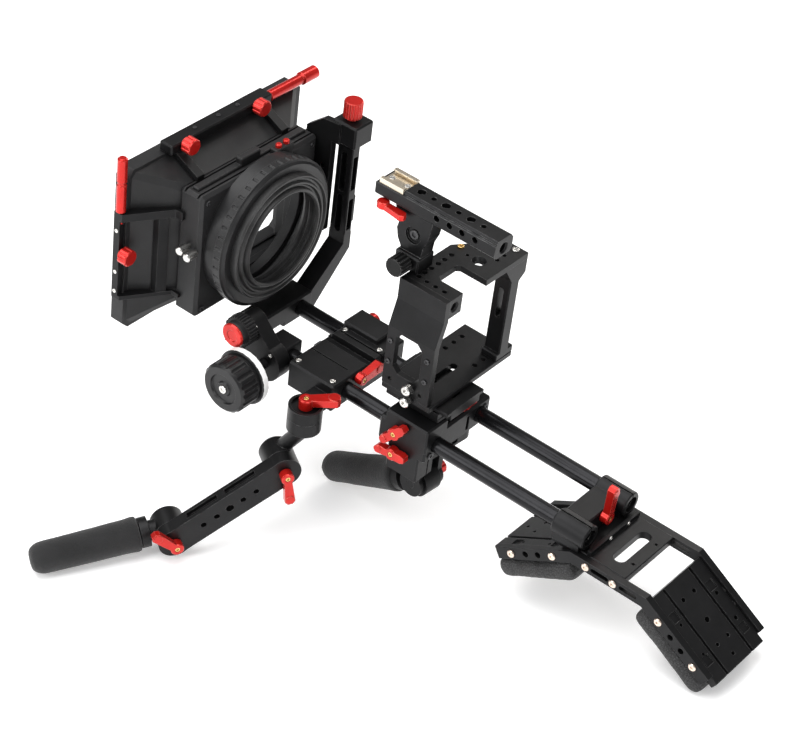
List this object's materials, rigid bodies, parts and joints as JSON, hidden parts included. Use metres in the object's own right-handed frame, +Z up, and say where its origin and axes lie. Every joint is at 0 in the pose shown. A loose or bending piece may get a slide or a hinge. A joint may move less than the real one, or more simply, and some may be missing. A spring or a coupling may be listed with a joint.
{
  "type": "camera shoulder rig",
  "caption": "Shoulder-mounted camera rig on twin rods with a matte box, follow focus, camera cage with top handle, two jointed hand grips and a padded shoulder saddle.",
  "frame": {"origin": "middle of the footprint on the surface it stands on", "axes": "+X to the operator's right, +Y forward to the matte box, +Z up"},
  "size_m": [0.4024, 0.6064, 0.361],
  "materials": {
    "rod_black": "satin black anodised tube",
    "black_anodised": "matt black anodised, bead blasted",
    "red_anodised": "satin red anodised",
    "pad_foam": "dense foam with a leather-grain skin",
    "grip_foam": "soft closed-cell foam",
    "rubber_black": "matt soft rubber",
    "bright_metal": "bright plated steel",
    "matte_box_black": "matt black, anti-glare",
    "focus_black": "satin black"
  },
  "bodies": {
    "rods": {"rod_left": "rod_black", "rod_right": "rod_black"},
    "shoulder": {"shoulder_clamp": "black_anodised", "shoulder_rails": "black_anodised", "shoulder_bridge": "black_anodised", "pad_plates": "black_anodised", "front_pad": "pad_foam", "rear_pad": "pad_foam", "shoulder_screws": "bright_metal"},
    "shoulder_lever": {"shoulder_lever": "red_anodised"},
    "base": {"base_clamp": "black_anodised", "qr_base": "black_anodised"},
    "base_lever_upper": {"base_lever_upper": "red_anodised"},
    "base_lever_lower": {"base_lever_lower": "red_anodised"},
    "rod_lever": {"rod_lever": "red_anodised"},
    "camera_plate": {"qr_plate": "black_anodised", "qr_stop_screws": "bright_metal", "cage_bottom": "black_anodised", "cage_left_side": "black_anodised", "cage_top": "black_anodised", "cage_right_side": "black_anodised", "handle_bar": "black_anodised", "handle_post": "black_anodised", "cold_shoe": "bright_metal"},
    "handle_knob": {"handle_knob": "black_anodised"},
    "handle_lever": {"handle_lever": "red_anodised"},
    "hanger": {"hanger_arm": "black_anodised"},
    "right_grip": {"right_grip_core": "black_anodised", "right_grip_foam": "grip_foam"},
    "right_grip_knob": {"right_grip_knob": "red_anodised"},
    "front_mount": {"front_clamp": "black_anodised"},
    "front_clamp_lever": {"front_clamp_lever": "red_anodised"},
    "front_clamp_barrel": {"front_clamp_barrel": "red_anodised"},
    "left_swivel": {"left_swivel": "black_anodised"},
    "left_swivel_lever": {"left_swivel_lever": "red_anodised"},
    "left_arm": {"left_arm": "black_anodised"},
    "left_elbow_lever": {"left_elbow_lever": "red_anodised"},
    "left_grip": {"left_grip_core": "black_anodised", "left_grip_foam": "grip_foam"},
    "left_wrist_lever": {"left_wrist_lever": "red_anodised"},
    "focus_unit": {"focus_body": "black_anodised"},
    "focus_knob": {"focus_knob": "focus_black"},
    "focus_gear": {"focus_gear": "focus_black"},
    "matte_post": {"swing_post": "black_anodised"},
    "matte_box": {"swing_plate": "black_anodised", "filter_stage": "matte_box_black", "hood": "matte_box_black", "top_flag_bracket": "black_anodised", "side_flag_bracket": "black_anodised", "stage_pins": "bright_metal"},
    "swing_knob": {"swing_knob": "red_anodised"},
    "filter_tray": {"filter_tray": "matte_box_black"},
    "tray_buttons": {"tray_buttons": "red_anodised"},
    "donut_ring": {"clamp_ring": "matte_box_black", "donut": "rubber_black"},
    "top_flag_knob_left": {"top_flag_knob_left": "red_anodised"},
    "top_flag_knob_right": {"top_flag_knob_right": "red_anodised"},
    "top_flag_pin": {"top_flag_pin": "red_anodised"},
    "side_flag_knob": {"side_flag_knob": "red_anodised"},
    "side_flag_pin": {"side_flag_pin": "red_anodised"}
  },
  "joints": [
    {"name": "shoulder_slide", "type": "slide", "parent": "rods", "child": "shoulder", "axis": [0, 0.989, 0.1478], "range_m": [0, 0.04]},
    {"name": "shoulder_lever_turn", "type": "hinge", "parent": "shoulder", "child": "shoulder_lever", "pos_m": [0.07289, -0.16059, 0.10484], "axis": [0, -0.989, -0.1478], "range_deg": [-50, 50]},
    {"name": "base_slide", "type": "slide", "parent": "rods", "child": "base", "axis": [0, 0.989, 0.1478], "range_m": [-0.02, 0.01]},
    {"name": "base_lever_upper_turn", "type": "hinge", "parent": "base", "child": "base_lever_upper", "pos_m": [0.02659, 0.02346, 0.13639], "axis": [-1, 0, 0], "range_deg": [-50, 5]},
    {"name": "base_lever_lower_turn", "type": "hinge", "parent": "base", "child": "base_lever_lower", "pos_m": [0.02659, 0.02679, 0.11414], "axis": [-1, 0, 0], "range_deg": [-5, 35]},
    {"name": "rod_lever_turn", "type": "hinge", "parent": "base", "child": "rod_lever", "pos_m": [0.08889, -0.00111, 0.13909], "axis": [0, -0.1478, 0.989], "range_deg": [-45, 45]},
    {"name": "camera_slide", "type": "slide", "parent": "base", "child": "camera_plate", "axis": [0, 0.989, 0.1478], "range_m": [-0.02, 0.02]},
    {"name": "handle_knob_turn", "type": "hinge", "parent": "camera_plate", "child": "handle_knob", "pos_m": [0.05209, 0.03423, 0.29169], "axis": [-1, 0, 0], "continuous": true},
    {"name": "handle_lever_turn", "type": "hinge", "parent": "camera_plate", "child": "handle_lever", "pos_m": [0.05189, 0.05665, 0.34125], "axis": [0, -0.1478, 0.989], "range_deg": [-60, 0]},
    {"name": "hanger_swing", "type": "hinge", "parent": "base", "child": "hanger", "pos_m": [0.11376, 0.02329, 0.09795], "axis": [0, -0.1478, 0.989], "range_deg": [-10, 10]},
    {"name": "right_wrist", "type": "hinge", "parent": "hanger", "child": "right_grip", "pos_m": [0.06989, 0.03262, 0.0589], "axis": [0.9969, -0.0776, -0.0116], "range_deg": [-40, 25]},
    {"name": "right_grip_knob_turn", "type": "hinge", "parent": "hanger", "child": "right_grip_knob", "pos_m": [0.08515, 0.03143, 0.05872], "axis": [0.9969, -0.0776, -0.0116], "continuous": true},
    {"name": "front_slide", "type": "slide", "parent": "rods", "child": "front_mount", "axis": [0, 0.989, 0.1478], "range_m": [-0.005, 0.002]},
    {"name": "front_clamp_lever_turn", "type": "hinge", "parent": "front_mount", "child": "front_clamp_lever", "pos_m": [0.12319, 0.13552, 0.15516], "axis": [1, 0, 0], "range_deg": [-50, 50]},
    {"name": "front_clamp_barrel_turn", "type": "hinge", "parent": "front_mount", "child": "front_clamp_barrel", "pos_m": [0.05689, 0.09383, 0.14792], "axis": [0, -0.989, -0.1478], "range_deg": [-35, 35]},
    {"name": "left_swivel_turn", "type": "hinge", "parent": "front_mount", "child": "left_swivel", "pos_m": [-0.00211, 0.10544, 0.13318], "axis": [0, -0.1478, 0.989], "range_deg": [-30, 40]},
    {"name": "left_swivel_lever_turn", "type": "hinge", "parent": "front_mount", "child": "left_swivel_lever", "pos_m": [-0.00211, 0.10409, 0.14218], "axis": [0, -0.1478, 0.989], "range_deg": [-80, 0]},
    {"name": "left_elbow", "type": "hinge", "parent": "left_swivel", "child": "left_arm", "pos_m": [-0.01211, 0.12767, 0.07917], "axis": [-0.5299, -0.8387, -0.1253], "range_deg": [-40, 40]},
    {"name": "left_elbow_lever_turn", "type": "hinge", "parent": "left_arm", "child": "left_elbow_lever", "pos_m": [-0.02037, 0.11458, 0.07721], "axis": [-0.5299, -0.8387, -0.1253], "range_deg": [-60, 60]},
    {"name": "left_wrist", "type": "hinge", "parent": "left_arm", "child": "left_grip", "pos_m": [-0.09436, 0.18817, 0.02206], "axis": [-0.5299, -0.8387, -0.1253], "range_deg": [-50, 60]},
    {"name": "left_wrist_lever_turn", "type": "hinge", "parent": "left_arm", "child": "left_wrist_lever", "pos_m": [-0.10263, 0.17509, 0.0201], "axis": [-0.5299, -0.8387, -0.1253], "range_deg": [-50, 50]},
    {"name": "focus_slide", "type": "slide", "parent": "rods", "child": "focus_unit", "axis": [0, 0.989, 0.1478], "range_m": [-0.004, 0.002]},
    {"name": "focus_knob_turn", "type": "hinge", "parent": "focus_unit", "child": "focus_knob", "pos_m": [0.01789, 0.17048, 0.15129], "axis": [-1, 0, 0], "continuous": true},
    {"name": "focus_gear_turn", "type": "hinge", "parent": "focus_unit", "child": "focus_gear", "pos_m": [0.01689, 0.18909, 0.18238], "axis": [-1, 0, 0], "continuous": true},
    {"name": "matte_slide", "type": "slide", "parent": "rods", "child": "matte_post", "axis": [0, 0.989, 0.1478], "range_m": [-0.001, 0.004]},
    {"name": "matte_swing", "type": "hinge", "parent": "matte_post", "child": "matte_box", "pos_m": [0.16289, 0.18792, 0.30859], "axis": [0, 0.1478, -0.989], "range_deg": [0, 85]},
    {"name": "swing_knob_turn", "type": "hinge", "parent": "matte_post", "child": "swing_knob", "pos_m": [0.16289, 0.18447, 0.33164], "axis": [0, -0.1478, 0.989], "continuous": true},
    {"name": "filter_tray_slide", "type": "slide", "parent": "matte_box", "child": "filter_tray", "axis": [0, -0.1478, 0.989], "range_m": [0, 0.1]},
    {"name": "tray_button_press", "type": "slide", "parent": "matte_box", "child": "tray_buttons", "axis": [0, 0.1478, -0.989], "range_m": [0, 0.002], "stiffness_N_per_m": 400, "springref_m": -0.0005},
    {"name": "donut_ring_turn", "type": "hinge", "parent": "matte_box", "child": "donut_ring", "pos_m": [0.07289, 0.19842, 0.24849], "axis": [0, 0.989, 0.1478], "continuous": true},
    {"name": "top_flag_knob_left_turn", "type": "hinge", "parent": "matte_box", "child": "top_flag_knob_left", "pos_m": [0.02189, 0.25468, 0.34355], "axis": [0, -0.989, -0.1478], "continuous": true},
    {"name": "top_flag_knob_right_turn", "type": "hinge", "parent": "matte_box", "child": "top_flag_knob_right", "pos_m": [0.11389, 0.25468, 0.34355], "axis": [0, -0.989, -0.1478], "continuous": true},
    {"name": "top_flag_pin_turn", "type": "hinge", "parent": "matte_box", "child": "top_flag_pin", "pos_m": [0.13619, 0.2605, 0.34047], "axis": [1, 0, 0], "continuous": true},
    {"name": "side_flag_knob_turn", "type": "hinge", "parent": "matte_box", "child": "side_flag_knob", "pos_m": [-0.04411, 0.276, 0.25503], "axis": [0, -0.989, -0.1478], "continuous": true},
    {"name": "side_flag_pin_turn", "type": "hinge", "parent": "matte_box", "child": "side_flag_pin", "pos_m": [-0.04411, 0.27188, 0.29819], "axis": [0, -0.1478, 0.989], "continuous": true}
  ],
  "couplings": [
    {"joint": "focus_gear_turn", "follows": "focus_knob_turn", "ratio": 1}
  ]
}
